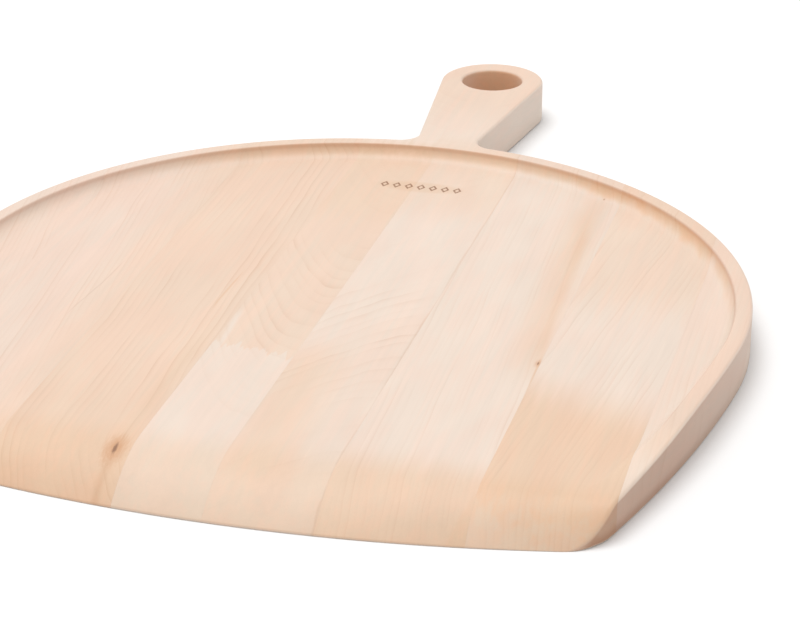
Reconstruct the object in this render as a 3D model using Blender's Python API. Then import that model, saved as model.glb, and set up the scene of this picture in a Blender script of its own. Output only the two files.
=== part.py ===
"""Pizza peel of edge-glued maple: a shallow round tray with a short handle.

The tray is open at the front, where the floor runs down a ramp to a thin leading edge, and the
ramp's last few millimetres are cut away more steeply all along the front and round its corners.
A rim goes round the back and sides, and sinks to the floor's level where the ramp begins.

Metres, +Z up. The origin is under the middle of the peel, on the surface that it lies on, and
+Y runs from the leading edge to the end of the handle. Outlines are worked out in the tray's own
plan, whose origin is the centre of the round back, and are then moved into place.
"""
import math

import bmesh
import bpy
from mathutils import Vector

MM = 0.001

# Driving dimensions of the plan
BACK_RADIUS = 168 * MM
SIDE_RADIUS = 630 * MM
SIDE_START = math.radians(-5.3)
FRONT_RADIUS = 552 * MM
FRONT_REACH = 168 * MM
CORNER_RADIUS = 20 * MM
HOLE_REACH = 259 * MM
HOLE_RADIUS = 14.7 * MM
HANDLE_END_RADIUS = 25 * MM
HANDLE_TAPER = math.radians(7.4)
NECK_FILLET = 9 * MM

# Driving dimensions of the section
THICKNESS = 20 * MM
EDGE_ROUNDING = 1.5 * MM
RIM_WIDTH = 6.8 * MM
TRAY_FLOOR = 13.7 * MM
COVE_RADIUS = 7 * MM
RAMP_START = -136 * MM
RAMP_END_HEIGHT = 2.3 * MM
NOSE_EDGE = 1.5 * MM
NOSE_SLOPE = 1.3
RIM_FALL_START = -44 * MM
RIM_FALL_BLEND = 40 * MM
RIM_FALL_SLOPE = 0.093

# Staves: name, where the right-hand seam crosses the tray's centre line, and the wood's colour
STAVES = (
    ("stave_left_edge", -135 * MM, (0.80, 0.64, 0.50)),
    ("stave_left_outer", -86 * MM, (0.79, 0.62, 0.48)),
    ("stave_left_inner", -35 * MM, (0.75, 0.57, 0.42)),
    ("stave_centre_left", -0.5 * MM, (0.74, 0.55, 0.40)),
    ("stave_centre_right", 40.5 * MM, (0.83, 0.67, 0.54)),
    ("stave_right_inner", 93.25 * MM, (0.84, 0.68, 0.53)),
    ("stave_right_outer", 142 * MM, (0.78, 0.60, 0.44)),
    ("stave_right_edge", None, (0.82, 0.66, 0.52)),
)
GRAIN_TURN = math.radians(0.95)
SEAM_GAP = 0.3 * MM
WOOD_ROUGHNESS = 0.55
SHARP_ANGLE = math.radians(30)

# Fineness of the curves, and how far the cutters stand clear of the wood
ARC_STEP = 7 * MM
SMALL_ARC_STEP = 3 * MM
ROUNDING_SEGMENTS = 3
COVE_SEGMENTS = 4
RIM_FALL_STEP = 10 * MM
NOSE_SEGMENTS = 400
CLEARANCE = 30 * MM

HALF_TURN = math.pi
QUARTER_TURN = math.pi / 2
TRAY_CENTRE = Vector((0, (FRONT_REACH - HOLE_REACH - HANDLE_END_RADIUS) / 2, 0))
SIDE_CENTRE = (BACK_RADIUS - SIDE_RADIUS) * Vector((math.cos(SIDE_START), math.sin(SIDE_START)))
FRONT_CENTRE = Vector((0, FRONT_RADIUS - FRONT_REACH))


def direction(angle):
    return Vector((math.cos(angle), math.sin(angle)))


def angle_from(centre, point):
    return math.atan2(point.y - centre.y, point.x - centre.x)


def arc(centre, radius, start, end, step):
    """Points along an arc from one angle to another, both ends included."""
    count = max(2, math.ceil(abs(end - start) * radius / step))
    return [centre + radius * direction(start + (end - start) * i / count) for i in range(count + 1)]


def circle_meeting(centre_a, radius_a, centre_b, radius_b):
    """Where two circles meet, on the right-hand side of the line from the first to the second."""
    between = centre_b - centre_a
    distance = between.length
    along = (distance ** 2 + radius_a ** 2 - radius_b ** 2) / (2 * distance)
    across = math.sqrt(radius_a ** 2 - along ** 2)
    forward = between / distance
    return centre_a + forward * along + Vector((forward.y, -forward.x)) * across


def mirrored(half):
    """Close a half outline that starts and ends on the centre line with its mirror image."""
    return half + [Vector((-point.x, point.y)) for point in reversed(half[1:-1])]


def peel_outline():
    """The whole peel seen from above: handle, round back, sides, corners and front edge."""
    tray = Vector((0, 0))
    hole = Vector((0, HOLE_REACH))
    handle_side = direction(-HANDLE_TAPER)
    towards_tray = Vector((handle_side.y, -handle_side.x))

    # The neck's fillet touches the handle's straight side and the round back from outside
    start = hole + (HANDLE_END_RADIUS + NECK_FILLET) * handle_side
    reach = start.dot(towards_tray)
    fillet_distance = BACK_RADIUS + NECK_FILLET
    travel = -reach - math.sqrt(reach ** 2 - start.dot(start) + fillet_distance ** 2)
    fillet = start + travel * towards_tray
    back_start = angle_from(tray, fillet)

    # The corner touches the side and the front edge from inside
    corner = circle_meeting(
        SIDE_CENTRE, SIDE_RADIUS - CORNER_RADIUS, FRONT_CENTRE, FRONT_RADIUS - CORNER_RADIUS)
    side_end = angle_from(SIDE_CENTRE, corner)
    front_start = angle_from(FRONT_CENTRE, corner)

    half = arc(hole, HANDLE_END_RADIUS, QUARTER_TURN, -HANDLE_TAPER, SMALL_ARC_STEP)
    half += arc(fillet, NECK_FILLET, HALF_TURN - HANDLE_TAPER, back_start + HALF_TURN, SMALL_ARC_STEP)
    half += arc(tray, BACK_RADIUS, back_start, SIDE_START, ARC_STEP)[1:]
    half += arc(SIDE_CENTRE, SIDE_RADIUS, SIDE_START, side_end, ARC_STEP)[1:]
    half += arc(corner, CORNER_RADIUS, side_end, front_start, SMALL_ARC_STEP)[1:]
    half += arc(FRONT_CENTRE, FRONT_RADIUS, front_start, -QUARTER_TURN, ARC_STEP)[1:]
    return mirrored(half)


def hole_outline():
    return arc(Vector((0, HOLE_REACH)), HOLE_RADIUS, 0, 2 * math.pi, SMALL_ARC_STEP)[:-1]


def tray_outline():
    """The tray's edge: the outline moved in by the rim's width, and run out past the front."""
    beyond = -FRONT_REACH - CLEARANCE
    run_out = math.asin((beyond - SIDE_CENTRE.y) / (SIDE_RADIUS - RIM_WIDTH))
    half = arc(Vector((0, 0)), BACK_RADIUS - RIM_WIDTH, QUARTER_TURN, SIDE_START, ARC_STEP)
    half += arc(SIDE_CENTRE, SIDE_RADIUS - RIM_WIDTH, SIDE_START, run_out, ARC_STEP)[1:]
    half.append(Vector((0, beyond)))
    return mirrored(half)


def ramp_profile():
    """Side view of what is cut away above the falling rim and the ramp, as (y, z) points.

    The fall begins tangent to the top, so its first point lies as far above the top as the
    second lies below it, which makes one clean cut line.
    """
    ramp_slope = (TRAY_FLOOR - RAMP_END_HEIGHT) / (FRONT_REACH + RAMP_START)
    bend = RIM_FALL_SLOPE / (2 * RIM_FALL_BLEND)
    blend_end = Vector((RIM_FALL_START - RIM_FALL_BLEND, THICKNESS - bend * RIM_FALL_BLEND ** 2))
    ramp_meets_rim = (
        (blend_end.y - TRAY_FLOOR + ramp_slope * RAMP_START - RIM_FALL_SLOPE * blend_end.x)
        / (ramp_slope - RIM_FALL_SLOPE))
    beyond = -FRONT_REACH - CLEARANCE
    above = THICKNESS + CLEARANCE

    first = RIM_FALL_STEP / 2
    points = [Vector((RIM_FALL_START + first, THICKNESS + bend * first ** 2))]
    for i in range(int(RIM_FALL_BLEND / RIM_FALL_STEP)):
        run = first + i * RIM_FALL_STEP
        points.append(Vector((RIM_FALL_START - run, THICKNESS - bend * run ** 2)))
    points.append(Vector((ramp_meets_rim, TRAY_FLOOR + ramp_slope * (ramp_meets_rim - RAMP_START))))
    points.append(Vector((beyond, TRAY_FLOOR + ramp_slope * (beyond - RAMP_START))))
    points.append(Vector((beyond, above)))
    points.append(Vector((RIM_FALL_START + first, above)))
    return points


def new_collection(name):
    collection = bpy.data.collections.new(name)
    bpy.context.scene.collection.children.link(collection)
    return collection


def evaluated_mesh(obj, name):
    """A new mesh with everything that the object's modifiers or curve settings make of it."""
    graph = bpy.context.evaluated_depsgraph_get()
    mesh = bpy.data.meshes.new_from_object(obj.evaluated_get(graph))
    mesh.name = name
    return mesh


def plate(name, outlines, thickness, collection, rounding=0.0):
    """A flat plate centred on its own XY plane: a filled 2D curve, made a mesh and welded."""
    curve = bpy.data.curves.new(name, "CURVE")
    curve.dimensions = "2D"
    curve.fill_mode = "BOTH"
    curve.extrude = thickness / 2 - rounding
    curve.bevel_depth = rounding
    curve.bevel_resolution = ROUNDING_SEGMENTS - 1
    curve.offset = -rounding
    for points in outlines:
        spline = curve.splines.new("POLY")
        spline.points.add(len(points) - 1)
        spline.use_cyclic_u = True
        for place, point in zip(spline.points, points):
            place.co = (point.x, point.y, 0, 1)
    outline = bpy.data.objects.new(name + "_outline", curve)
    collection.objects.link(outline)

    mesh = evaluated_mesh(outline, name)
    shape = bmesh.new()
    shape.from_mesh(mesh)
    bmesh.ops.remove_doubles(shape, verts=shape.verts, dist=0.001 * MM)
    shape.to_mesh(mesh)
    shape.free()
    bpy.data.objects.remove(outline)
    solid = bpy.data.objects.new(name, mesh)
    collection.objects.link(solid)
    return solid


def as_cutter(obj):
    obj.hide_render = True
    obj.display_type = "WIRE"
    return obj


def cut(obj, cutter, operation):
    modifier = obj.modifiers.new(cutter.name, "BOOLEAN")
    modifier.operation = operation
    modifier.solver = "EXACT"
    modifier.object = cutter


def peel_blank(collection):
    """The board with its rounded edges and the hanging hole, still flat on top."""
    blank = as_cutter(plate(
        "peel_blank", [peel_outline(), hole_outline()], THICKNESS, collection, EDGE_ROUNDING))
    blank.location = TRAY_CENTRE + Vector((0, 0, THICKNESS / 2))
    return blank


def tray_cutter(collection):
    """The tray's hollow, with a cove where its floor meets the rim."""
    height = THICKNESS + CLEARANCE - TRAY_FLOOR
    cutter = as_cutter(plate("tray_cutter", [tray_outline()], height, collection))
    cutter.location = TRAY_CENTRE + Vector((0, 0, TRAY_FLOOR + height / 2))
    shape = bmesh.new()
    shape.from_mesh(cutter.data)
    floor_edges = [
        edge for edge in shape.edges
        if all(vert.co.z < 0 for vert in edge.verts) and edge.calc_face_angle() > QUARTER_TURN / 2]
    bmesh.ops.bevel(
        shape, geom=floor_edges, affect="EDGES", offset=COVE_RADIUS, segments=COVE_SEGMENTS,
        profile=0.5, clamp_overlap=False)
    shape.to_mesh(cutter.data)
    shape.free()
    return cutter


def ramp_cutter(collection):
    """The wood above the falling rim and the ramp, across the whole width."""
    width = 2 * (BACK_RADIUS + CLEARANCE)
    cutter = as_cutter(plate("ramp_cutter", [ramp_profile()], width, collection))
    cutter.location = TRAY_CENTRE
    cutter.rotation_euler = (QUARTER_TURN, 0, QUARTER_TURN)
    return cutter


def nose_frustum(collection):
    """What stays inside the steep nose: a wide frustum round the front edge's own centre."""
    base = FRONT_RADIUS + NOSE_EDGE / NOSE_SLOPE
    bottom = -CLEARANCE
    top = THICKNESS + CLEARANCE
    shape = bmesh.new()
    bmesh.ops.create_cone(
        shape, cap_ends=True, segments=NOSE_SEGMENTS, depth=top - bottom,
        radius1=base - bottom / NOSE_SLOPE, radius2=base - top / NOSE_SLOPE)
    mesh = bpy.data.meshes.new("nose_frustum")
    shape.to_mesh(mesh)
    shape.free()
    frustum = as_cutter(bpy.data.objects.new("nose_frustum", mesh))
    frustum.location = TRAY_CENTRE + Vector((0, FRONT_CENTRE.y, (bottom + top) / 2))
    collection.objects.link(frustum)
    return frustum


def stave_slot(name, left, right, collection):
    """A box round one stave, from seam to seam less half a seam's gap on each side."""
    shape = bmesh.new()
    bmesh.ops.create_cube(shape, size=1)
    length = 2 * (HOLE_REACH + HANDLE_END_RADIUS + CLEARANCE)
    size = Vector((right - left - SEAM_GAP, length, THICKNESS + 2 * CLEARANCE))
    bmesh.ops.scale(shape, verts=shape.verts, vec=size)
    bmesh.ops.translate(shape, verts=shape.verts, vec=((left + right) / 2, 0, THICKNESS / 2))
    mesh = bpy.data.meshes.new(name + "_slot")
    shape.to_mesh(mesh)
    shape.free()
    slot = as_cutter(bpy.data.objects.new(name + "_slot", mesh))
    slot.location = TRAY_CENTRE
    slot.rotation_euler = (0, 0, GRAIN_TURN)
    collection.objects.link(slot)
    return slot


def maple(name, colour):
    material = bpy.data.materials.new(name + "_maple")
    material.use_nodes = True
    shader = material.node_tree.nodes["Principled BSDF"]
    shader.inputs["Base Color"].default_value = (*colour, 1)
    shader.inputs["Roughness"].default_value = WOOD_ROUGHNESS
    shader.inputs["Metallic"].default_value = 0
    return material


def build():
    for obj in list(bpy.data.objects):
        bpy.data.objects.remove(obj)
    parts = new_collection("Pizza peel")
    cutters = new_collection("Cutters")

    blank = peel_blank(cutters)
    cut(blank, tray_cutter(cutters), "DIFFERENCE")
    cut(blank, ramp_cutter(cutters), "DIFFERENCE")
    cut(blank, nose_frustum(cutters), "INTERSECT")
    board = evaluated_mesh(blank, "board")

    left = -BACK_RADIUS - CLEARANCE
    for name, seam, colour in STAVES:
        right = BACK_RADIUS + CLEARANCE if seam is None else seam
        uncut = bpy.data.objects.new(name + "_uncut", board)
        uncut.location = blank.location
        cutters.objects.link(uncut)
        cut(uncut, stave_slot(name, left, right, cutters), "INTERSECT")
        mesh = evaluated_mesh(uncut, name)
        mesh.shade_smooth()
        mesh.set_sharp_from_angle(angle=SHARP_ANGLE)
        mesh.materials.clear()
        mesh.materials.append(maple(name, colour))
        stave = bpy.data.objects.new(name, mesh)
        stave.location = uncut.location
        parts.objects.link(stave)
        bpy.data.objects.remove(uncut)
        left = right


build()
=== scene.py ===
"""The looks of a maple pizza peel: eight edge-glued staves with sanded edges and their own figure.

One fine, closed board is made from the plan's arcs and the section's curves, and is sawn into
the staves along the seams. Each stave's wood is a solid pattern: growth rings round a pith line,
fibres, pores, knots and mineral streaks, so that the ramp, the cove and the edges cut through it as
they do in real wood.

Metres in the row frame. The plan and the wood are worked out round the tray's centre, which is the
middle of the round back. The wood's own coordinates are millimetres, with y along the grain towards
the handle.
"""
import math
from dataclasses import dataclass

import bmesh
import bpy
from mathutils import Matrix, Vector
from mathutils.geometry import delaunay_2d_cdt


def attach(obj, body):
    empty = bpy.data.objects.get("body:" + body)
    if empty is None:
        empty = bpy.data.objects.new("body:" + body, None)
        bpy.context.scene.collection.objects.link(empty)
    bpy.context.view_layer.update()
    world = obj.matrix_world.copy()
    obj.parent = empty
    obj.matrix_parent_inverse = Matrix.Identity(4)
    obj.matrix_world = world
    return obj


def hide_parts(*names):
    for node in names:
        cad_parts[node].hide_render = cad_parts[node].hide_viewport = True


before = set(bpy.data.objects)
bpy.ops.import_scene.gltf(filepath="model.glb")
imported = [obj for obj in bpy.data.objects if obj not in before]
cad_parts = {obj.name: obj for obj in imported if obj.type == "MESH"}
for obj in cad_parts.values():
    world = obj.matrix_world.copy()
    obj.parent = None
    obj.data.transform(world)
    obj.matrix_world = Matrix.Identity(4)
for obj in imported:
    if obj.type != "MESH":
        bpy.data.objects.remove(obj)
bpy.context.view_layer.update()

MM = 0.001
HALF_TURN = math.pi
QUARTER_TURN = math.pi / 2

# Plan
BACK_RADIUS = 168 * MM
SIDE_RADIUS = 630 * MM
SIDE_START = math.radians(-5.3)    # where the round back ends, seen from the tray's centre
FRONT_RADIUS = 552 * MM
FRONT_REACH = 168 * MM
CORNER_RADIUS = 20 * MM
HOLE_REACH = 259 * MM
HOLE_RADIUS = 14.7 * MM
HANDLE_END_RADIUS = 25 * MM
HANDLE_TAPER = math.radians(7.4)
NECK_FILLET = 9 * MM

# Section
THICKNESS = 20 * MM
RIM_WIDTH = 6.8 * MM
TRAY_FLOOR = 13.7 * MM
COVE_RADIUS = 7 * MM
RAMP_START = -132 * MM
RAMP_EDGE = 0.8 * MM               # height of the leading edge
RAMP_CURVE = 2.2                   # power of the ramp's curve
RAMP_END_RADIUS = 535 * MM
RIM_FALL_START = -44 * MM
RIM_FALL_BLEND = 40 * MM
RIM_FALL_SLOPE = 0.093
RIM_END_HEIGHT = 0.3 * MM          # how far the rim still stands above the floor where it ends

# Sanding: the rounding of the top and bottom edges, which is at most a share of the wood's thickness,
# and of the rim's inner edge, which is softer where the rim runs out
TOP_ROUNDING = 1.5 * MM
TOP_ROUNDING_SHARE = 0.4
BOTTOM_ROUNDING = 1.3 * MM
BOTTOM_ROUNDING_SHARE = 0.25
RIM_ROUNDING = 1 * MM
RIM_END_ROUNDING = 8 * MM
RAMP_BLEND = 0.5 * MM

# Staves
GRAIN_TURN = math.radians(0.95)
GLUE_LINE = 0.015 * MM

# Fineness
OUTLINE_STEP = 2.2 * MM
SMALL_STEP = 1.1 * MM
ROUNDING_RINGS = 5
COVE_RINGS = 8
LATTICE = 6 * MM
BOTTOM_LATTICE = 14 * MM
LATTICE_MARGIN = 2.5 * MM
LEAST_GAP = 0.5 * MM
RAMP_LINES = 18
SHARP_ANGLE = math.radians(40)
SAME_PLACE = 0.001 * MM
TRIANGULATION_EPSILON = 1e-8
TRIANGLES_INSIDE = 2               # delaunay_2d_cdt's output type

TRAY_CENTRE = Vector((0, (FRONT_REACH - HOLE_REACH - HANDLE_END_RADIUS) / 2, 0))
SIDE_CENTRE = (BACK_RADIUS - SIDE_RADIUS) * Vector((math.cos(SIDE_START), math.sin(SIDE_START)))
FRONT_CENTRE = Vector((0, FRONT_RADIUS - FRONT_REACH))
COVE_INSET = RIM_WIDTH + COVE_RADIUS


# ---------------------------------------------------------------- plan

def direction(angle):
    return Vector((math.cos(angle), math.sin(angle)))


def angle_from(centre, point):
    return math.atan2(point.y - centre.y, point.x - centre.x)


def arc(centre, radius, start, end, step, inward=-1):
    """Stations along an arc, ends included: each is a point and the direction into the wood."""
    count = max(2, math.ceil(abs(end - start) * radius / step))
    rays = [direction(start + (end - start) * i / count) for i in range(count + 1)]
    return [(centre + radius * ray, inward * ray) for ray in rays]


def straight(first, last, step):
    """Stations between two stations that share one direction into the wood, ends left out."""
    count = math.ceil((last[0] - first[0]).length / step)
    return [(first[0].lerp(last[0], i / count), first[1]) for i in range(1, count)]


def circle_meeting(centre_a, radius_a, centre_b, radius_b):
    """Where two circles meet, on the right-hand side of the line from the first to the second."""
    between = centre_b - centre_a
    distance = between.length
    along = (distance ** 2 + radius_a ** 2 - radius_b ** 2) / (2 * distance)
    across = math.sqrt(radius_a ** 2 - along ** 2)
    forward = between / distance
    return centre_a + forward * along + Vector((forward.y, -forward.x)) * across


CORNER_CENTRE = circle_meeting(
    SIDE_CENTRE, SIDE_RADIUS - CORNER_RADIUS, FRONT_CENTRE, FRONT_RADIUS - CORNER_RADIUS)


def flipped(stations):
    """The stations' mirror images across the centre line, in the opposite order."""
    return [tuple(Vector((-v.x, v.y)) for v in station) for station in reversed(stations)]


def peel_outline():
    """The whole peel seen from above: handle, round back, sides, corners and front edge."""
    tray = Vector((0, 0))
    hole = Vector((0, HOLE_REACH))
    handle_side = direction(-HANDLE_TAPER)
    towards_tray = Vector((handle_side.y, -handle_side.x))

    # The neck's fillet touches the handle's straight side and the round back from outside
    start = hole + (HANDLE_END_RADIUS + NECK_FILLET) * handle_side
    reach = start.dot(towards_tray)
    fillet_distance = BACK_RADIUS + NECK_FILLET
    travel = -reach - math.sqrt(reach ** 2 - start.dot(start) + fillet_distance ** 2)
    fillet = start + travel * towards_tray
    back_start = angle_from(tray, fillet)

    side_end = angle_from(SIDE_CENTRE, CORNER_CENTRE)
    front_start = angle_from(FRONT_CENTRE, CORNER_CENTRE)
    handle = arc(hole, HANDLE_END_RADIUS, QUARTER_TURN, -HANDLE_TAPER, SMALL_STEP)
    neck = arc(
        fillet, NECK_FILLET, HALF_TURN - HANDLE_TAPER, back_start + HALF_TURN, SMALL_STEP, inward=1)
    half = handle + straight(handle[-1], neck[0], OUTLINE_STEP) + neck
    half += arc(tray, BACK_RADIUS, back_start, SIDE_START, OUTLINE_STEP)[1:]
    half += arc(SIDE_CENTRE, SIDE_RADIUS, SIDE_START, side_end, OUTLINE_STEP)[1:]
    half += arc(CORNER_CENTRE, CORNER_RADIUS, side_end, front_start, SMALL_STEP)[1:]
    half += arc(FRONT_CENTRE, FRONT_RADIUS, front_start, -QUARTER_TURN, OUTLINE_STEP)[1:]
    return half + flipped(half[1:-1])


def hole_outline():
    return arc(Vector((0, HOLE_REACH)), HOLE_RADIUS, 0, 2 * HALF_TURN, SMALL_STEP, inward=1)[:-1]


def tray_stations():
    """Stations round the back and the sides, from the left end of the rim to its right end."""
    fall = THICKNESS - TRAY_FLOOR - RIM_END_HEIGHT
    rim_end = RIM_FALL_START - RIM_FALL_BLEND / 2 - fall / RIM_FALL_SLOPE
    side_end = math.asin((rim_end - SIDE_CENTRE.y) / (SIDE_RADIUS - COVE_INSET))
    half = arc(Vector((0, 0)), BACK_RADIUS, QUARTER_TURN, SIDE_START, OUTLINE_STEP)
    half += arc(SIDE_CENTRE, SIDE_RADIUS, SIDE_START, side_end, OUTLINE_STEP)[1:]
    return flipped(half[1:]) + half


def tray_inset(point):
    """How far a point of the plan lies inside the tray's outline, which leaves out the handle."""
    right = Vector((abs(point.x), point.y))
    if angle_from(Vector((0, 0)), right) > SIDE_START:
        return BACK_RADIUS - right.length
    side = SIDE_RADIUS - (right - SIDE_CENTRE).length
    front = FRONT_RADIUS - (right - FRONT_CENTRE).length
    if side < CORNER_RADIUS and front < CORNER_RADIUS:
        return CORNER_RADIUS - (right - CORNER_CENTRE).length
    return min(side, front)


# ---------------------------------------------------------------- section

def rim_top(y):
    """Height of the rim's flat top, which falls towards the front from a soft start."""
    run = RIM_FALL_START - y
    if run <= 0:
        return THICKNESS
    if run < RIM_FALL_BLEND:
        return THICKNESS - RIM_FALL_SLOPE * run ** 2 / (2 * RIM_FALL_BLEND)
    return THICKNESS - RIM_FALL_SLOPE * (run - RIM_FALL_BLEND / 2)


def rim_rounding(y):
    """Radius of the rim's inner rounding, which grows as the rim sinks to the floor."""
    sunk = min(1, (THICKNESS - rim_top(y)) / (THICKNESS - TRAY_FLOOR))
    return RIM_ROUNDING + (RIM_END_ROUNDING - RIM_ROUNDING) * sunk


def rim_edge(y):
    """Insets where the rim's inner rounding leaves the flat top and where it meets the cove."""
    rounding = rim_rounding(y)
    drop = TRAY_FLOOR + COVE_RADIUS - (rim_top(y) - rounding)
    reach = COVE_RADIUS + rounding
    across = math.sqrt(max(0.0, reach ** 2 - drop ** 2))
    top = COVE_INSET - across
    return top, top + rounding * across / reach


def ramp_end(x):
    """Where the ramp would reach its edge's height, along an arc close to the front edge."""
    return RAMP_END_RADIUS - FRONT_REACH - math.sqrt(RAMP_END_RADIUS ** 2 - x ** 2)


def ramp_height(point):
    """Height of the ramp, which curves down from a straight start across the tray.

    Behind its start it curves up instead, so that the lower of ramp and floor is the wood's surface.
    """
    share = (RAMP_START - point.y) / (RAMP_START - ramp_end(point.x))
    return TRAY_FLOOR - (TRAY_FLOOR - RAMP_EDGE) * math.copysign(abs(share) ** RAMP_CURVE, share)


def softly_lower(a, b, blend):
    """The lower of two heights, with a parabola where they come within the blend of each other."""
    return min(a, b) - max(blend - abs(a - b), 0) ** 2 / (4 * blend)


def top_height(point):
    """Height of the wood's upper side at a point of the plan, before its outer edges are rounded."""
    inset = tray_inset(point)
    top, foot = rim_edge(point.y)
    if inset <= top or (point.y < RAMP_START and inset < COVE_INSET):
        height = rim_top(point.y)
    elif inset < foot:
        rounding = rim_rounding(point.y)
        height = rim_top(point.y) - rounding + math.sqrt(rounding ** 2 - (inset - top) ** 2)
    elif inset < COVE_INSET:
        height = TRAY_FLOOR + COVE_RADIUS - math.sqrt(COVE_RADIUS ** 2 - (COVE_INSET - inset) ** 2)
    else:
        height = TRAY_FLOOR
    return softly_lower(height, ramp_height(point), RAMP_BLEND)


# ---------------------------------------------------------------- board

def in_row_frame(point, height):
    return Vector((point.x, point.y, height)) + TRAY_CENTRE


def edge_radius(point, rounding, share):
    """Radius that an edge of the wood is rounded to, which is smaller where the wood is thin."""
    return min(rounding, share * top_height(point))


def rounded_edge(shape, stations):
    """The side wall under an outline with its rounded edges. Returns its lowest and highest rings."""
    rings = []
    for rounding, share, up in (
            (BOTTOM_ROUNDING, BOTTOM_ROUNDING_SHARE, False), (TOP_ROUNDING, TOP_ROUNDING_SHARE, True)):
        steps = [i / ROUNDING_RINGS for i in range(ROUNDING_RINGS + 1)]
        for step in steps if up else reversed(steps):
            ring = []
            for point, inward in stations:
                radius = edge_radius(point, rounding, share)
                place = point + inward * radius * (1 - math.cos(step * QUARTER_TURN))
                rise = radius * (1 - math.sin(step * QUARTER_TURN))
                height = top_height(place) - rise if up else rise
                ring.append(shape.verts.new(in_row_frame(place, height)))
            rings.append(ring)
    for lower, upper in zip(rings, rings[1:]):
        for i in range(len(stations)):
            shape.faces.new((lower[i - 1], lower[i], upper[i], upper[i - 1]))
    return rings[0], rings[-1]


def lattice_points(step, rows, keep):
    """Points on a grid across the plan, in the given rows, where keep says so."""
    columns = math.floor(BACK_RADIUS / step)
    points = [Vector((i * step, y)) for y in rows for i in range(-columns, columns + 1)]
    return [point for point in points if keep(point)]


def spaced(start, end, step):
    count = max(1, round(abs(end - start) / step))
    return [start + (end - start) * i / count for i in range(count + 1)]


def cap(shape, loops, lines, points, height):
    """Fill the plan between closed loops, following open lines and points, at the given heights."""
    places = []
    edges = []
    for loop in loops:
        first = len(places)
        places += [vert.co.xy - TRAY_CENTRE.xy for vert in loop]
        edges += [(first + i, first + (i + 1) % len(loop)) for i in range(len(loop))]
    for line in lines:
        first = len(places)
        places += line
        edges += [(first + i, first + i + 1) for i in range(len(line) - 1)]
    places += points
    found, _, triangles, _, _, _ = delaunay_2d_cdt(
        places, edges, [], TRIANGLES_INSIDE, TRIANGULATION_EPSILON)

    # A triangle with no corner outside this ring round the hole would close the hole
    hole = Vector((0, HOLE_REACH))
    hole_ring = HOLE_RADIUS + TOP_ROUNDING + LATTICE_MARGIN / 2
    verts = [shape.verts.new(in_row_frame(place, height(place))) for place in found]
    for triangle in triangles:
        if any((found[i] - hole).length > hole_ring for i in triangle):
            shape.faces.new([verts[i] for i in triangle])


def clear_of_edge(point):
    """Whether a point keeps clear of the outer edge's rounding."""
    return tray_inset(point) > edge_radius(point, TOP_ROUNDING, TOP_ROUNDING_SHARE) + LEAST_GAP


def on_floor(point):
    return tray_inset(point) > COVE_INSET + LATTICE_MARGIN


def on_handle(point):
    from_hole = (point - Vector((0, HOLE_REACH))).length
    return (
        tray_inset(point) < -LATTICE_MARGIN and abs(point.x) < HANDLE_END_RADIUS - LATTICE
        and from_hole > HOLE_RADIUS + LATTICE)


def under_tray(point):
    return tray_inset(point) > BOTTOM_LATTICE / 2


def cove_line_inset(i, y):
    """Inset of a line round the tray: the first ones round the rim's inner edge, then the cove."""
    top, foot = rim_edge(y)
    if i <= ROUNDING_RINGS:
        rounding = rim_rounding(y)
        angle = i / ROUNDING_RINGS * math.asin(min(1, (foot - top) / rounding))
        return top + rounding * math.sin(angle)
    left = 1 - (i - ROUNDING_RINGS) / COVE_RINGS
    swing = left * math.asin((COVE_INSET - foot) / COVE_RADIUS)
    return COVE_INSET - COVE_RADIUS * math.sin(swing)


def cove_lines():
    """Lines round the tray, from the flat of the rim to the foot of the cove."""
    stations = tray_stations()
    lines = []
    for i in range(ROUNDING_RINGS + COVE_RINGS + 1):
        lines.append([
            point + inward * cove_line_inset(i, (point + inward * COVE_INSET).y)
            for point, inward in stations])
    return lines


def ramp_lines():
    """Lines across the ramp, each of them level."""
    columns = spaced(-BACK_RADIUS, BACK_RADIUS, LATTICE)
    lines = []
    for i in range(RAMP_LINES):
        line = [
            Vector((x, RAMP_START + (ramp_end(x) - RAMP_START) * i / RAMP_LINES)) for x in columns]
        lines.append([point for point in line if clear_of_edge(point)])
    return lines


def board():
    """The whole peel as one closed mesh, before it is sawn into its staves."""
    shape = bmesh.new()
    outer_bottom, outer_top = rounded_edge(shape, peel_outline())
    hole_bottom, hole_top = rounded_edge(shape, hole_outline())

    floor_rows = spaced(BACK_RADIUS, RAMP_START + LATTICE / 2, LATTICE)
    handle_rows = spaced(BACK_RADIUS, HOLE_REACH - HOLE_RADIUS, LATTICE)
    inner = lattice_points(LATTICE, floor_rows, on_floor)
    inner += lattice_points(LATTICE, handle_rows, on_handle)
    cap(shape, [outer_top, hole_top], cove_lines() + ramp_lines(), inner, top_height)

    bottom_rows = spaced(BACK_RADIUS, -FRONT_REACH, BOTTOM_LATTICE)
    under = lattice_points(BOTTOM_LATTICE, bottom_rows, under_tray)
    cap(shape, [outer_bottom, hole_bottom], [], under, lambda point: 0)
    bmesh.ops.remove_doubles(shape, verts=shape.verts, dist=SAME_PLACE)
    bmesh.ops.recalc_face_normals(shape, faces=shape.faces)
    return shape


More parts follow.
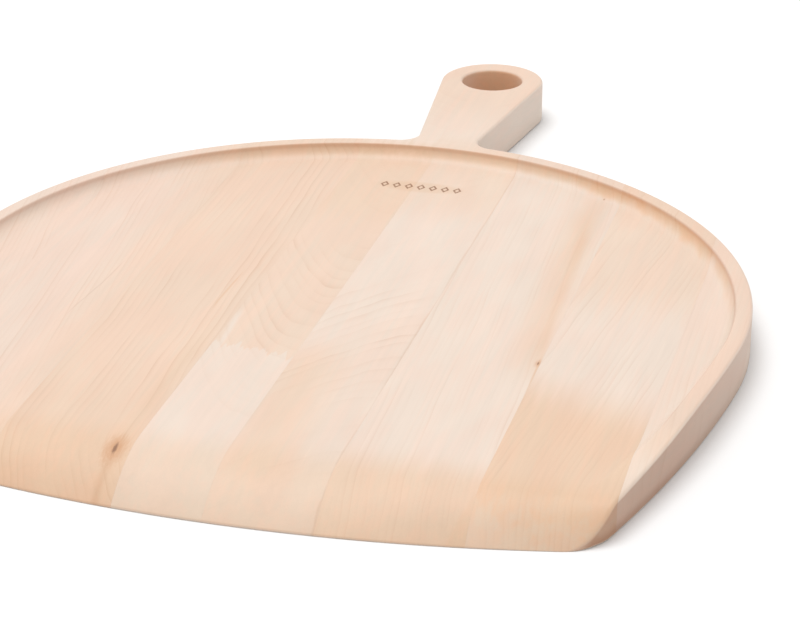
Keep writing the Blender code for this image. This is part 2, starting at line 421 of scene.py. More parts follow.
def sawn(whole, left, right, name):
    """A mesh of the board between two seams, which run along the grain. A missing seam is None."""
    shape = whole.copy()
    across = Vector((math.cos(GRAIN_TURN), math.sin(GRAIN_TURN), 0))
    for seam, side in ((left, -1), (right, 1)):
        if seam is None:
            continue
        bmesh.ops.bisect_plane(
            shape, geom=shape.verts[:] + shape.edges[:] + shape.faces[:], dist=0,
            plane_co=TRAY_CENTRE + across * (seam - side * GLUE_LINE / 2), plane_no=across * side,
            clear_outer=True)
        open_edges = [edge for edge in shape.edges if edge.is_boundary]
        filled = bmesh.ops.holes_fill(shape, edges=open_edges, sides=0)
        bmesh.ops.triangulate(shape, faces=filled["faces"])
    mesh = bpy.data.meshes.new(name)
    shape.to_mesh(mesh)
    shape.free()
    mesh.shade_smooth()
    mesh.set_sharp_from_angle(angle=SHARP_ANGLE)
    return mesh


# ---------------------------------------------------------------- wood

LIGHT_LEVEL = 0.875


def srgb(red, green, blue):
    """The linear colour that a shader takes, from a display colour, 0 to 255, in the studio's light."""
    def linear(value):
        share = value / 255
        return share / 12.92 if share <= 0.04045 else ((share + 0.055) / 1.055) ** 2.4
    return (*(LIGHT_LEVEL * linear(value) for value in (red, green, blue)), 1)


PALE = srgb(227, 208, 193)
PINK = srgb(227, 204, 188)
WARM = srgb(226, 199, 178)
PALE_WARM = srgb(227, 206, 190)
TAN = srgb(226, 201, 181)
TAN_DEEP = srgb(223, 192, 166)
LINE_PALE = srgb(208, 172, 144)
LINE_TAN = srgb(196, 156, 124)
BROWN = srgb(150, 98, 58)
DARK_BROWN = srgb(88, 52, 30)
ORANGE = srgb(214, 158, 104)
KNOT_HALO = srgb(198, 138, 88)
BURNT = srgb(126, 78, 42)
SCORCHED = srgb(206, 160, 112)

# Tints, which a colour is multiplied by
UNTINTED = (1, 1, 1, 1)
UNBLUSHED = (0.985, 1.0, 1.0, 1)
BLUSHED = (1.0, 0.972, 0.962, 1)
END_GRAIN = (0.98, 0.86, 0.73, 1)
# Painted shade on the ramp
PAINTED_RAMP_SHADE = (0.975, 0.915, 0.84, 1)
# Painted shade: a warm browning of one stretch of the cove
PAINTED_COVE_SHADE = (0.98, 0.84, 0.70, 1)
# Painted light on the cove's steep wall
PAINTED_COVE_LIGHT = (1.04, 1.04, 1.03, 1)
# Painted shade along the top of the cove
PAINTED_COVE_TOP_SHADE = (0.97, 0.90, 0.87, 1)
# Painted shade on the outer sides
PAINTED_SIDE_SHADE = (0.62, 0.46, 0.38, 1)
HANDLED_TOP = (0.98, 0.90, 0.84, 1)
# Painted shade on the hole's wall
PAINTED_HOLE_SHADE = (1.0, 0.84, 0.73, 1)

# Where painted shade browns the cove: the middle of that stretch, seen from the tray's centre, and
# how far it reaches either way
COVE_SHADE_MIDDLE = math.radians(40)
COVE_SHADE_REACH = math.radians(42)

# Where the tints lie. A range is the value where a tint starts and the one where it is whole, then
# its least and greatest strength if they aren't 0 and 1. X runs across the grain, Y along it and Z
# up from the bench. An inset is measured from the tray's outline, a radius from the tray's centre and
# a distance from the hole's, all in millimetres. FACING and UP are 1 where the surface faces straight
# along the grain or straight up, and 0 where it is square to that.
END_GRAIN_FACING = (0.35, 1)
END_GRAIN_Y = (-130, -110, 0.4, 1)
RAMP_Y = (-122, -150)
RAMP_UP = (0.2, 0.5)
COVE_SHADE_FLOOR_INSET = (11, 6.5)
COVE_SHADE_RIM_INSET = (5.6, 6.8)
COVE_SHADE_TOP_Z = (19.7, 18.8)
COVE_LIGHT_UP = (0.05, 0.25)
COVE_LIGHT_FOOT_Z = (13.9, 15.2)
COVE_LIGHT_TOP_Z = (18.6, 17.2)
COVE_TOP_RIM_INSET = (6.2, 6.8)
COVE_TOP_FLOOR_INSET = (7.8, 7.3)
COVE_TOP_Z = (17.5, 18.8)
UPRIGHT_UP = (0.5, 0.1)
UPRIGHT_FACING = (1, 0.7)
OUTSIDE_RADIUS = (164, 166)
SIDE_SHADE_Y = (90, -130)
SIDE_SHADE_Z = (6, 1, 0.7, 1)
LEVEL_UP = (0.6, 0.9)
RIM_FLOOR_INSET = (9.5, 5.5)
RIM_OUTER_INSET = (-1, 0)
RIM_X = (-20, 80, 0, 0.7)
RIM_Y = (-118, -95)
GRIP_INSET = (0, -1)
GRIP_Y = (180, 240, 0.3, 1)
HOLE_WALL_DISTANCE = (HOLE_RADIUS / MM + 1.5, HOLE_RADIUS / MM + 0.6)
HOLE_WALL_UP = (0.8, 0.4)

# A plain row of lozenges, burnt into the tray's floor near the handle, in wood millimetres
MARK_CENTRE = (2.5, 126)
MARK_PITCH = 5.6
MARK_COUNT = 7
MARK_LOZENGE = (2.0, 3.4)     # half sizes across and along the grain
MARK_OUTLINE = 0.75           # where the burnt line runs, as a share of those half sizes
MARK_LINE = (0.34, 0.16)      # how far from there it starts and is whole, in the same shares
MARK_SPECKLE = (0.2, 0.6, 0.6, 1)
MARK_STRENGTH = 0.82
HEAT_MARGIN = 3               # how far the scorched ellipse reaches past the row's ends
HEAT_HALF_WIDTH = 7
HEAT_RANGE = (1.05, 0.6)
HEAT_STRENGTH = 0.22

# Growth rings
RIPPLE_WANDER = 0.11          # the ripple's share of a stave's wander
WIDTH_CHANGE = 0.45           # how fast the rings' widths change from one ring to the next
WIDTH_SWING = 1.6             # by how many rings they get ahead or behind
LATEWOOD_POWER = 3.5
RING_END = (1.0, 0.92)
YEAR_POWER = 1.6
POOR_YEAR = 0.2
PATCHY_RANGE = (0.3, 0.7, 0.15, 1.0)
UNFIGURED = 0.15              # how much of the rings shows outside a figured stretch

# Streaks, knots and tone
STREAK_DRIFT = 3.0
KNOT_WOBBLE = 0.8
KNOT_CORE_RANGE = (1.15, 0.3)
KNOT_CORE_STRENGTH = 0.8
KNOT_HALO_RANGE = (1.1, 0.1)
KNOT_HALO_STRENGTH = 0.7
BLUSH_RANGE = (0.35, 0.65)
STRAND_BLUSH = 0.8
TONE_SWING = 0.10
STRAND_SWING = 0.10
FIBRE_SWING = 0.07
PORE_DARKNESS = -0.06
COVE_SHADE_TONE_SMEAR = 4
COVE_SHADE_RIPPLE_SMEAR = 7

# The finish: bare sanded wood
ROUGHNESS = 0.50
FIBRE_ROUGHNESS = 0.14
LATEWOOD_ROUGHNESS = -0.05
SPECULAR = 0.32
FIBRE_RELIEF = 0.6
LATEWOOD_RELIEF = 0.25
PORE_RELIEF = -0.7
RELIEF_STRENGTH = 0.35
RELIEF_DEPTH = 0.05 * MM


@dataclass
class Streak:
    """A coloured streak along the grain, from its back end to its front end, in wood millimetres."""
    back: tuple
    front: tuple
    half_width: float
    fade: float
    colour: tuple
    strength: float


@dataclass
class Knot:
    """A small knot: a dark core in a brown halo, each given by its half width and half length."""
    place: tuple
    core: tuple
    halo: tuple
    strength: float


@dataclass
class Patch:
    """A tinted area between two lines across the grain, each with the length it fades over."""
    back: float
    back_fade: float
    front: float
    front_fade: float
    colour: tuple
    strength: float
    slant: float = 0.0    # how far the lines run back for each millimetre to the right
    ragged: float = 20.0  # how far the edges run in and out along the strands


@dataclass
class Stave:
    name: str
    seam: float           # where its right-hand seam crosses the tray's centre line, or None
    slot: str
    base: tuple           # the wood's overall colour
    deep: tuple           # the colour of its latewood lines
    pith: tuple           # across the grain and up, in wood millimetres
    spacing: float        # the rings' mean width
    contrast: float       # how strongly the latewood lines show
    wander: float         # how far the rings stray from even circles
    lean: float = 0.0     # how far the pith line leans across the grain
    taper: float = 0.0    # how fast the rings grow along the grain, which makes cathedral arches
    features: tuple = ()
    figured: tuple = None    # front and back end of the stretch where the rings show, and its fade
    second: tuple = None     # a second colour of wood beyond one of the rings
    boundary: tuple = None   # that ring's radius at the tray's centre, and how soft the change is


@dataclass
class Noise:
    """A noise with grains of a width and a length, in wood millimetres."""
    across: float
    along: float
    offset: float         # sets it apart from the other noises
    detail: float = 2.0
    roughness: float = 0.5


WARP = Noise(26, 105, 0, detail=2.5)
RIPPLE = Noise(6, 34, 31)
PATCHINESS = Noise(14, 55, 11)
FIBRE = Noise(0.55, 22, 3, detail=3, roughness=0.6)
STRAND = Noise(2.6, 90, 5, detail=3, roughness=0.55)
PORE = Noise(0.22, 1.6, 17, detail=1)
TONE = Noise(17, 60, 23)
BLUSH = Noise(12, 38, 29)
PORE_RANGE = (0.66, 0.8)
SEED_STEP = 7.3


class Tree:
    """Builds one material's nodes. Calls take numbers or sockets as values, and return sockets."""

    def __init__(self, name):
        self.material = bpy.data.materials.new(name)
        self.material.use_nodes = True
        self.nodes = self.material.node_tree.nodes
        self.links = self.material.node_tree.links
        self.shader = self.nodes["Principled BSDF"]

    def add(self, kind, inputs=(), **settings):
        """A new node with these inputs, which are named or numbered."""
        node = self.nodes.new(kind)
        for key, value in settings.items():
            setattr(node, key, value)
        for key, value in dict(inputs).items():
            self.plug(node.inputs[key], value)
        return node

    def plug(self, socket, value):
        if isinstance(value, bpy.types.NodeSocket):
            self.links.new(value, socket)
        else:
            socket.default_value = value

    def surface(self, values):
        """Set the shader's inputs."""
        for name, value in values.items():
            self.plug(self.shader.inputs[name], value)

    def math(self, operation, *values):
        return self.add("ShaderNodeMath", enumerate(values), operation=operation).outputs[0]

    def vector_math(self, operation, *vectors):
        """An operation on vectors whose result is a number."""
        node = self.add("ShaderNodeVectorMath", enumerate(vectors), operation=operation)
        return node.outputs["Value"]

    def total(self, *values):
        result = values[0]
        for value in values[1:]:
            result = self.math("ADD", result, value)
        return result

    def product(self, *values):
        result = values[0]
        for value in values[1:]:
            result = self.math("MULTIPLY", result, value)
        return result

    def length(self, a, b):
        """The length of a vector with two components."""
        return self.math("SQRT", self.total(self.product(a, a), self.product(b, b)))

    def combine(self, x, y, z):
        return self.add("ShaderNodeCombineXYZ", {0: x, 1: y, 2: z}).outputs[0]

    def split(self, vector):
        return self.add("ShaderNodeSeparateXYZ", {0: vector}).outputs

    def rise(self, value, start, end, low=0.0, high=1.0):
        """Goes smoothly from low, where the value is at start, to high, where it is at end."""
        inputs = {"Value": value, "From Min": start, "From Max": end, "To Min": low, "To Max": high}
        return self.add("ShaderNodeMapRange", inputs, interpolation_type="SMOOTHSTEP").outputs[0]

    def noise(self, vector, detail=2.0, roughness=0.5):
        inputs = {"Vector": vector, "Scale": 1.0, "Detail": detail, "Roughness": roughness}
        return self.add("ShaderNodeTexNoise", inputs).outputs["Fac"]

    def swing(self, noise, amount):
        """A noise made to swing about zero. The amount is what its whole range, 0 to 1, would span."""
        return self.product(self.math("SUBTRACT", noise, 0.5), amount)

    def mix(self, factor, low, high):
        node = self.add("ShaderNodeMix", {"Factor": factor}, data_type="RGBA")
        self.plug(node.inputs[6], low)
        self.plug(node.inputs[7], high)
        return node.outputs[2]

    def multiplied(self, colour, other):
        """Two colours multiplied."""
        node = self.add("ShaderNodeMix", {"Factor": 1.0}, data_type="RGBA", blend_type="MULTIPLY")
        self.plug(node.inputs[6], colour)
        self.plug(node.inputs[7], other)
        return node.outputs[2]

    def tinted(self, colour, mask, tint):
        """A colour with a tint over it where the mask is 1."""
        return self.multiplied(colour, self.mix(mask, UNTINTED, tint))

    def shade(self, colour, brightness):
        """A colour times a brightness."""
        node = self.add("ShaderNodeVectorMath", operation="SCALE")
        self.plug(node.inputs[0], colour)
        self.plug(node.inputs["Scale"], brightness)
        return node.outputs[0]


class Wood(Tree):
    """One stave's nodes, with the places, the surface's directions and the noises they work from."""

    def __init__(self, stave, number):
        super().__init__(stave.name + "_maple")
        self.seed = SEED_STEP * (number + 1)
        place = self.add("ShaderNodeTexCoord").outputs["Object"]
        self.plan = self.millimetres(place, 0)
        self.grained = self.millimetres(place, GRAIN_TURN)
        self.x, self.y, self.z = self.split(self.grained)
        self.inset = tray_inset_nodes(self, self.plan)
        self.from_centre = self.vector_math("LENGTH", self.grained)

        normal = self.add("ShaderNodeNewGeometry").outputs["Normal"]
        grain = (-math.sin(GRAIN_TURN), math.cos(GRAIN_TURN), 0)
        self.facing = self.math("ABSOLUTE", self.vector_math("DOT_PRODUCT", normal, grain))
        self.up = self.split(normal)[2]

        self.ripple = self.grain_noise(RIPPLE)
        self.fibre = self.grain_noise(FIBRE)
        self.strand = self.grain_noise(STRAND)
        self.tone = self.grain_noise(TONE)
        self.pore = self.rise(self.grain_noise(PORE), *PORE_RANGE)

    def millimetres(self, place, turn):
        """Places round the tray's centre in millimetres, on axes turned about the upright one."""
        inputs = {
            "Vector": place, "Location": TRAY_CENTRE, "Rotation": (0, 0, turn), "Scale": (MM, MM, MM)}
        return self.add("ShaderNodeMapping", inputs, vector_type="TEXTURE").outputs[0]

    def grain_noise(self, noise):
        start = self.seed + noise.offset
        vector = self.combine(
            self.math("MULTIPLY_ADD", self.x, 1 / noise.across, start),
            self.math("MULTIPLY_ADD", self.y, 1 / noise.along, start * 0.7),
            self.math("MULTIPLY_ADD", self.z, 1 / noise.across, -start * 0.4))
        return self.noise(vector, noise.detail, noise.roughness)

    def ellipse(self, centre, half_sizes):
        """Distance from a centre in units of an ellipse's half sizes."""
        across = self.math("DIVIDE", self.math("SUBTRACT", self.x, centre[0]), half_sizes[0])
        along = self.math("DIVIDE", self.math("SUBTRACT", self.y, centre[1]), half_sizes[1])
        return self.length(across, along)


def tray_inset_nodes(tree, plan):
    """How far a point lies inside the tray's outline, in millimetres, leaving out the front."""
    across, y, _ = tree.split(plan)
    right = tree.math("ABSOLUTE", across)
    flat = tree.combine(right, y, 0)
    from_side = tree.vector_math("DISTANCE", flat, (*(SIDE_CENTRE / MM), 0))
    side = tree.math("SUBTRACT", SIDE_RADIUS / MM, from_side)
    back = tree.math("SUBTRACT", BACK_RADIUS / MM, tree.vector_math("LENGTH", flat))
    behind = tree.math(
        "GREATER_THAN", tree.math("MULTIPLY_ADD", right, -math.tan(SIDE_START), y), 0)
    return tree.total(side, tree.product(behind, tree.math("SUBTRACT", back, side)))


def growth_rings(wood, stave):
    """A point's ring radius in millimetres, and how strongly a latewood line shows there."""
    wander = wood.total(
        wood.swing(wood.grain_noise(WARP), 2 * stave.wander),
        wood.swing(wood.ripple, 2 * RIPPLE_WANDER * stave.wander))
    from_pith = wood.math(
        "SUBTRACT", wood.x, wood.math("MULTIPLY_ADD", wood.y, stave.lean, stave.pith[0]))
    above_pith = wood.math("SUBTRACT", wood.z, stave.pith[1])
    radius = wood.total(
        wood.length(from_pith, above_pith), wood.product(wood.y, stave.taper), wander)

    # Rings of uneven width. Each darkens outwards and ends at once, and some years are darker
    count = wood.math("DIVIDE", radius, stave.spacing)
    uneven = wood.noise(wood.combine(wood.product(count, WIDTH_CHANGE), wood.seed, 0), detail=1)
    ring = wood.math("ADD", count, wood.product(uneven, WIDTH_SWING))
    share = wood.math("FRACT", ring)
    line = wood.product(wood.math("POWER", share, LATEWOOD_POWER), wood.rise(share, *RING_END))
    year = wood.add(
        "ShaderNodeTexWhiteNoise", {"W": wood.math("FLOOR", ring)}, noise_dimensions="1D")
    good_year = wood.math(
        "MULTIPLY_ADD", wood.math("POWER", year.outputs["Value"], YEAR_POWER),
        1 - POOR_YEAR, POOR_YEAR)
    patchy = wood.rise(wood.grain_noise(PATCHINESS), *PATCHY_RANGE)
    latewood = wood.product(line, good_year, patchy)
    if stave.figured:
        front, back, fade = stave.figured
        shown = wood.product(
            wood.rise(wood.y, front - fade, front), wood.rise(wood.y, back + fade, back))
        latewood = wood.product(latewood, wood.rise(shown, 0, 1, UNFIGURED, 1))
    return radius, latewood


def patch_mask(wood, patch):
    y = wood.total(
        wood.y, wood.product(wood.x, -patch.slant), wood.swing(wood.strand, patch.ragged))
    back = wood.rise(y, patch.back + patch.back_fade / 2, patch.back - patch.back_fade / 2)
    front = wood.rise(y, patch.front - patch.front_fade / 2, patch.front + patch.front_fade / 2)
    return wood.product(back, front, patch.strength)


def streak_mask(wood, streak):
    slope = (streak.front[0] - streak.back[0]) / (streak.front[1] - streak.back[1])
    middle = wood.math("MULTIPLY_ADD", wood.y, slope, streak.back[0] - slope * streak.back[1])
    x = wood.total(wood.x, wood.swing(wood.ripple, STREAK_DRIFT))
    off = wood.math("ABSOLUTE", wood.math("SUBTRACT", x, middle))
    across = wood.rise(off, streak.half_width, 0)
    back = wood.rise(wood.y, streak.back[1] + streak.fade / 2, streak.back[1] - streak.fade / 2)
    front = wood.rise(wood.y, streak.front[1] - streak.fade / 2, streak.front[1] + streak.fade / 2)
    return wood.product(across, back, front, streak.strength)


def stave_colour(wood, stave, radius):
    """The stave's broad colours: its base, its second wood, its patches and its streaks."""
    colour = stave.base
    if stave.second:
        ring_radius, softness = stave.boundary
        beyond = wood.rise(radius, ring_radius - softness, ring_radius + softness)
        colour = wood.mix(beyond, colour, stave.second)
    for feature in stave.features:
        if isinstance(feature, Patch):
            colour = wood.mix(patch_mask(wood, feature), colour, feature.colour)
        elif isinstance(feature, Streak):
            colour = wood.mix(streak_mask(wood, feature), colour, feature.colour)
    return colour


def with_figure(wood, stave, colour, latewood):
    """The colour with its blush, its latewood lines and the fine changes of its tone."""
    pinkness = wood.total(wood.grain_noise(BLUSH), wood.swing(wood.strand, STRAND_BLUSH))
    blush = wood.mix(wood.rise(pinkness, *BLUSH_RANGE), UNBLUSHED, BLUSHED)
    colour = wood.mix(
        wood.product(latewood, stave.contrast), wood.multiplied(colour, blush), stave.deep)
    brightness = wood.total(
        1.0,
        wood.swing(wood.tone, TONE_SWING),
        wood.swing(wood.strand, STRAND_SWING),
        wood.swing(wood.fibre, FIBRE_SWING),
        wood.product(wood.pore, PORE_DARKNESS))
    return wood.shade(colour, brightness)


def with_knots(wood, stave, colour):
    for knot in stave.features:
        if isinstance(knot, Knot):
            wobble = wood.swing(wood.fibre, KNOT_WOBBLE)
            from_core = wood.total(wood.ellipse(knot.place, knot.core), wobble)
            from_halo = wood.total(wood.ellipse(knot.place, knot.halo), wobble)
            halo = wood.product(
                wood.rise(from_halo, *KNOT_HALO_RANGE), KNOT_HALO_STRENGTH * knot.strength)
            core = wood.product(
                wood.rise(from_core, *KNOT_CORE_RANGE), KNOT_CORE_STRENGTH * knot.strength)
            colour = wood.mix(core, wood.mix(halo, colour, KNOT_HALO), DARK_BROWN)
    return colour


def with_mark(wood, colour):
    """The colour with the row of lozenge outlines burnt in, and the wood round them scorched."""
    half_length = MARK_PITCH * MARK_COUNT / 2
    along_row = wood.math("SUBTRACT", wood.x, MARK_CENTRE[0] - half_length)
    share = wood.math("FRACT", wood.math("DIVIDE", along_row, MARK_PITCH))
    within = wood.math("MULTIPLY", share, MARK_PITCH)
    right = wood.math("ABSOLUTE", wood.math("SUBTRACT", within, MARK_PITCH / 2))
    forward = wood.math("ABSOLUTE", wood.math("SUBTRACT", wood.y, MARK_CENTRE[1]))
    lozenge = wood.total(
        wood.math("DIVIDE", right, MARK_LOZENGE[0]), wood.math("DIVIDE", forward, MARK_LOZENGE[1]))
    off_line = wood.math("ABSOLUTE", wood.math("SUBTRACT", lozenge, MARK_OUTLINE))
    off_centre = wood.math("ABSOLUTE", wood.math("SUBTRACT", wood.x, MARK_CENTRE[0]))
    in_row = wood.math("LESS_THAN", off_centre, half_length)
    on_floor = wood.math("GREATER_THAN", wood.z, TRAY_FLOOR / MM / 2)
    burnt = wood.product(wood.rise(off_line, *MARK_LINE), in_row, on_floor)
    heat = wood.ellipse(MARK_CENTRE, (half_length + HEAT_MARGIN, HEAT_HALF_WIDTH))
    heated = wood.product(wood.rise(heat, *HEAT_RANGE), on_floor)
    speckle = wood.rise(wood.fibre, *MARK_SPECKLE)
    colour = wood.mix(wood.product(heated, HEAT_STRENGTH), colour, SCORCHED)
    return wood.mix(wood.product(burnt, speckle, MARK_STRENGTH), colour, BURNT)


def with_end_grain_and_ramp_shade(wood, colour):
    """End grain looks browner, and painted shade darkens and warms the ramp."""
    end_grain = wood.product(
        wood.rise(wood.facing, *END_GRAIN_FACING), wood.rise(wood.y, *END_GRAIN_Y))
    colour = wood.tinted(colour, end_grain, END_GRAIN)
    # Painted shade on the ramp, darker and warmer than the floor
    ramp = wood.product(wood.rise(wood.y, *RAMP_Y), wood.rise(wood.up, *RAMP_UP))
    return wood.tinted(colour, ramp, PAINTED_RAMP_SHADE)


def with_painted_cove_light_and_shade(wood, colour):
    """Painted shade browns one stretch of the cove, painted light brightens its steep wall and painted
    shade darkens its top.
    """
    towards_cove_shade = wood.vector_math("DOT_PRODUCT", wood.grained, (*direction(COVE_SHADE_MIDDLE), 0))
    nearness = wood.math("DIVIDE", towards_cove_shade, wood.from_centre)
    smear = wood.total(
        wood.swing(wood.tone, COVE_SHADE_TONE_SMEAR), wood.swing(wood.ripple, COVE_SHADE_RIPPLE_SMEAR))
    # Painted shade, warm and brown, over one stretch of the cove
    burnt = wood.product(
        wood.rise(nearness, math.cos(COVE_SHADE_REACH), 1),
        wood.rise(wood.total(wood.inset, smear), *COVE_SHADE_FLOOR_INSET),
        wood.rise(wood.inset, *COVE_SHADE_RIM_INSET),
        wood.rise(wood.z, *COVE_SHADE_TOP_Z))
    colour = wood.tinted(colour, burnt, PAINTED_COVE_SHADE)
    # Painted light, brightening the cove's steep wall
    painted_cove_light = wood.product(
        wood.rise(wood.up, *COVE_LIGHT_UP),
        wood.rise(wood.z, *COVE_LIGHT_FOOT_Z), wood.rise(wood.z, *COVE_LIGHT_TOP_Z))
    colour = wood.tinted(colour, painted_cove_light, PAINTED_COVE_LIGHT)
    # Painted shade along the cove's top
    top = wood.product(
        wood.rise(wood.inset, *COVE_TOP_RIM_INSET), wood.rise(wood.inset, *COVE_TOP_FLOOR_INSET),
        wood.rise(wood.z, *COVE_TOP_Z))
    return wood.tinted(colour, top, PAINTED_COVE_TOP_SHADE)


def with_side_shade_and_wear(wood, colour):
    """Painted shade darkens the outer sides; hands and worktops have darkened the right-hand rim's top
    and the handle's.
    """
    upright = wood.product(
        wood.rise(wood.math("ABSOLUTE", wood.up), *UPRIGHT_UP),
        wood.rise(wood.facing, *UPRIGHT_FACING),
        wood.rise(wood.from_centre, *OUTSIDE_RADIUS))
    # Painted shade on the outer sides, darker towards the front and the bottom
    sides = wood.product(upright, wood.rise(wood.y, *SIDE_SHADE_Y), wood.rise(wood.z, *SIDE_SHADE_Z))
    colour = wood.tinted(colour, sides, PAINTED_SIDE_SHADE)
    rim = wood.product(
        wood.rise(wood.inset, *RIM_FLOOR_INSET), wood.rise(wood.inset, *RIM_OUTER_INSET),
        wood.rise(wood.x, *RIM_X), wood.rise(wood.y, *RIM_Y))
    grip = wood.product(wood.rise(wood.inset, *GRIP_INSET), wood.rise(wood.y, *GRIP_Y))
    top = wood.product(wood.math("MAXIMUM", rim, grip), wood.rise(wood.up, *LEVEL_UP))
    return wood.tinted(colour, top, HANDLED_TOP)


def with_hole_wall(wood, colour):
    """Painted shade leaves the hole's wall browner than the rest."""
    x, y, _ = wood.split(wood.plan)
    from_hole = wood.length(x, wood.math("SUBTRACT", y, HOLE_REACH / MM))
    # Painted shade on the hole's wall
    shaded_hole_wall = wood.product(
        wood.rise(from_hole, *HOLE_WALL_DISTANCE), wood.rise(wood.up, *HOLE_WALL_UP))
    return wood.tinted(colour, shaded_hole_wall, PAINTED_HOLE_SHADE)


def maple(stave, number):
    """One stave's wood, as a solid pattern in the board's own millimetres along the grain."""
    wood = Wood(stave, number)
    radius, latewood = growth_rings(wood, stave)
    colour = stave_colour(wood, stave, radius)
    colour = with_figure(wood, stave, colour, latewood)
    colour = with_knots(wood, stave, colour)
    colour = with_mark(wood, colour)
    colour = with_end_grain_and_ramp_shade(wood, colour)
    colour = with_painted_cove_light_and_shade(wood, colour)
    colour = with_side_shade_and_wear(wood, colour)
    colour = with_hole_wall(wood, colour)

    roughness = wood.total(
        ROUGHNESS, wood.swing(wood.fibre, FIBRE_ROUGHNESS),
        wood.product(latewood, LATEWOOD_ROUGHNESS))
    relief = wood.total(
        wood.product(wood.fibre, FIBRE_RELIEF), wood.product(latewood, LATEWOOD_RELIEF),
        wood.product(wood.pore, PORE_RELIEF))
    bump = wood.add("ShaderNodeBump", {
        "Height": relief, "Strength": RELIEF_STRENGTH, "Distance": RELIEF_DEPTH})
    wood.surface({
        "Base Color": colour, "Roughness": roughness, "Specular IOR Level": SPECULAR,
        "Normal": bump.outputs[0]})
    return wood.material


STAVES = (
    Stave("left_edge", -135 * MM, "maple_pale", PINK, LINE_PALE, pith=(-60, -30), taper=-0.17,
          spacing=2.0, contrast=0.65, wander=2.2),
    Stave("left_outer", -86 * MM, "maple_warm", PINK, LINE_PALE, pith=(-30, -25), taper=-0.12,
          spacing=2.3, contrast=0.72, wander=3.0,
          features=(
              Streak((-86, 190), (-86, -200), 30, 20, WARM, 0.8),
              Streak((-97, 10), (-100, -40), 0.5, 16, BROWN, 0.16))),
    Stave("left_inner", -35 * MM, "maple_warm", WARM, LINE_TAN, pith=(-12, 40), taper=-0.03,
          spacing=2.6, contrast=0.65, wander=4.0,
          features=(
              Streak((-40.5, -45), (-40.5, -175), 7.0, 60, TAN_DEEP, 0.6),
              Streak((-45.5, 13), (-45.5, -22), 0.8, 14, ORANGE, 0.35),
              Patch(-95, 70, -400, 1, TAN_DEEP, 0.45),
              Streak((-41, -150), (-41.5, -172), 2.6, 7, LINE_TAN, 0.3),
              Knot((-41, -144.6), (1.0, 3.6), (5.6, 10.5), 0.8))),
    Stave("centre_left", -0.5 * MM, "maple_tan", TAN, LINE_TAN, pith=(2, -46), taper=-0.23,
          spacing=2.3, contrast=0.59, wander=2.4, figured=(-48, 40, 30),
          features=(
              Patch(400, 1, 165, 14, PALE, 1.0),
              Patch(158, 14, 85, 40, TAN_DEEP, 0.5),
              Patch(-56, 1.6, -400, 1, PALE, 1.0, slant=-0.1, ragged=26),
              Streak((-33.6, -23), (-31.5, -62), 2.4, 10, PALE, 1.0))),
    Stave("centre_right", 40.5 * MM, "maple_pale", PALE_WARM, LINE_TAN, pith=(50, -66), taper=0.29,
          spacing=2.9, contrast=0.59, wander=2.4, figured=(-75, -2, 25), second=PALE, boundary=(78, 2),
          features=(
              Patch(170, 20, 100, 40, TAN, 0.8),
              Streak((6, -52), (12, -150), 24, 40, TAN_DEEP, 0.6),
              Streak((40.5, 200), (40.5, -200), 1.0, 10, LINE_TAN, 0.25))),
    Stave("right_inner", 93.25 * MM, "maple_pale", PALE, LINE_PALE, pith=(-60, 0), lean=-0.045,
          spacing=2.4, contrast=0.52, wander=3.0,
          features=(
              Streak((80, 125), (89, -45), 14.0, 50, ORANGE, 0.22),
              Streak((83, 135), (86, 55), 9.0, 30, ORANGE, 0.10),
              Streak((84, 100), (91.5, -40), 3.6, 50, ORANGE, 0.16),
              Streak((92.4, -36), (93.0, -68), 0.9, 20, ORANGE, 0.4),
              Patch(-128, 24, -400, 1, TAN, 1.0),
              Patch(-413, 5, -2000, 1, TAN_DEEP, 0.4, slant=2.9, ragged=6),
              Knot((92.4, -39), (0.5, 1.4), (1.9, 4.5), 0.7),
              Knot((85.3, 131.8), (0.4, 0.5), (0.8, 1.0), 0.5))),
    Stave("right_outer", 142 * MM, "maple_tan", PALE, LINE_TAN, pith=(60, -10), taper=-0.10,
          spacing=2.3, contrast=0.49, wander=3.0,
          features=(
              Patch(-28, 40, -400, 1, TAN_DEEP, 1.0, slant=-0.33),
              Patch(-150, 22, -400, 1, PALE, 0.8),
              Patch(300, 1, 22, 50, TAN, 0.9))),
    Stave("right_edge", None, "maple_pale", PALE_WARM, LINE_PALE, pith=(40, 20), lean=-0.02,
          spacing=2.2, contrast=0.45, wander=2.6),
)


def make_staves():
    whole = board()
    left = None
    for number, stave in enumerate(STAVES):
        name = "maple_" + stave.name
        piece = bpy.data.objects.new(name, sawn(whole, left, stave.seam, name))
        bpy.context.scene.collection.objects.link(piece)
        piece.data.materials.append(maple(stave, number))
        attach(piece, "root")
        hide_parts("stave_" + stave.name)
        left = stave.seam
    whole.free()


# ---------------------------------------------------------------- studio

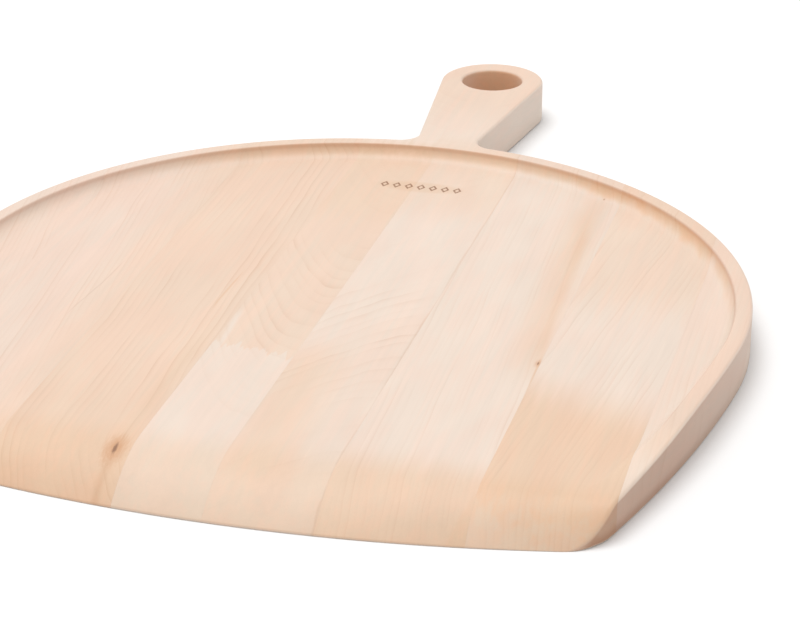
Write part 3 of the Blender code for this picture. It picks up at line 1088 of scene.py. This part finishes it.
CAMERA_PLACE = Vector((0.2838, -0.9530, 0.4373))
CAMERA_YAW = math.radians(16.02)
CAMERA_PITCH = math.radians(24.72)
CAMERA_ROLL = math.radians(0.05)
CAMERA_LENS = 113.63
SENSOR = 36
FLOOR_HALF_SIZE = 4
FLOOR_DROP = 0.1 * MM
FLOOR_COLOUR = (0.8, 0.8, 0.8, 1)
FLOOR_ROUGHNESS = 0.9
FLOOR_SPECULAR = 0.1
SKY_COLOUR = (1, 1, 1, 1)
SKY_STRENGTH = 0.86
LIGHT_PLACE = Vector((-1.0, 0.5, 4.6))
LIGHT_SIZE = 2.6
LIGHT_POWER = 128


def make_camera():
    data = bpy.data.cameras.new("camera")
    data.sensor_width = SENSOR
    data.lens = CAMERA_LENS
    data.dof.use_dof = False
    camera = bpy.data.objects.new("camera", data)
    camera.location = CAMERA_PLACE
    turn = Matrix.Rotation(CAMERA_YAW, 4, "Z")
    turn @= Matrix.Rotation(QUARTER_TURN - CAMERA_PITCH, 4, "X")
    turn @= Matrix.Rotation(CAMERA_ROLL, 4, "Z")
    camera.rotation_euler = turn.to_euler()
    bpy.context.scene.collection.objects.link(camera)
    bpy.context.scene.camera = camera


def make_floor():
    shape = bmesh.new()
    bmesh.ops.create_grid(shape, x_segments=1, y_segments=1, size=FLOOR_HALF_SIZE)
    mesh = bpy.data.meshes.new("floor")
    shape.to_mesh(mesh)
    shape.free()
    floor = bpy.data.objects.new("floor", mesh)
    floor.location.z = -FLOOR_DROP
    bpy.context.scene.collection.objects.link(floor)
    tree = Tree("white_floor")
    tree.surface({
        "Base Color": FLOOR_COLOUR, "Roughness": FLOOR_ROUGHNESS, "Specular IOR Level": FLOOR_SPECULAR})
    mesh.materials.append(tree.material)


def make_light():
    """A square soft box, high above the peel, that faces the middle of the tray."""
    data = bpy.data.lights.new("key", "AREA")
    data.shape = "SQUARE"
    data.size = LIGHT_SIZE
    data.energy = LIGHT_POWER
    light = bpy.data.objects.new("key", data)
    light.location = LIGHT_PLACE
    light.rotation_euler = (TRAY_CENTRE - LIGHT_PLACE).to_track_quat("-Z", "Y").to_euler()
    bpy.context.scene.collection.objects.link(light)


def make_sky():
    world = bpy.data.worlds.new("studio")
    world.use_nodes = True
    background = world.node_tree.nodes["Background"]
    background.inputs["Color"].default_value = SKY_COLOUR
    background.inputs["Strength"].default_value = SKY_STRENGTH
    bpy.context.scene.world = world
    bpy.context.scene.view_settings.view_transform = "Standard"


make_camera()
make_floor()
make_sky()
make_light()
make_staves()
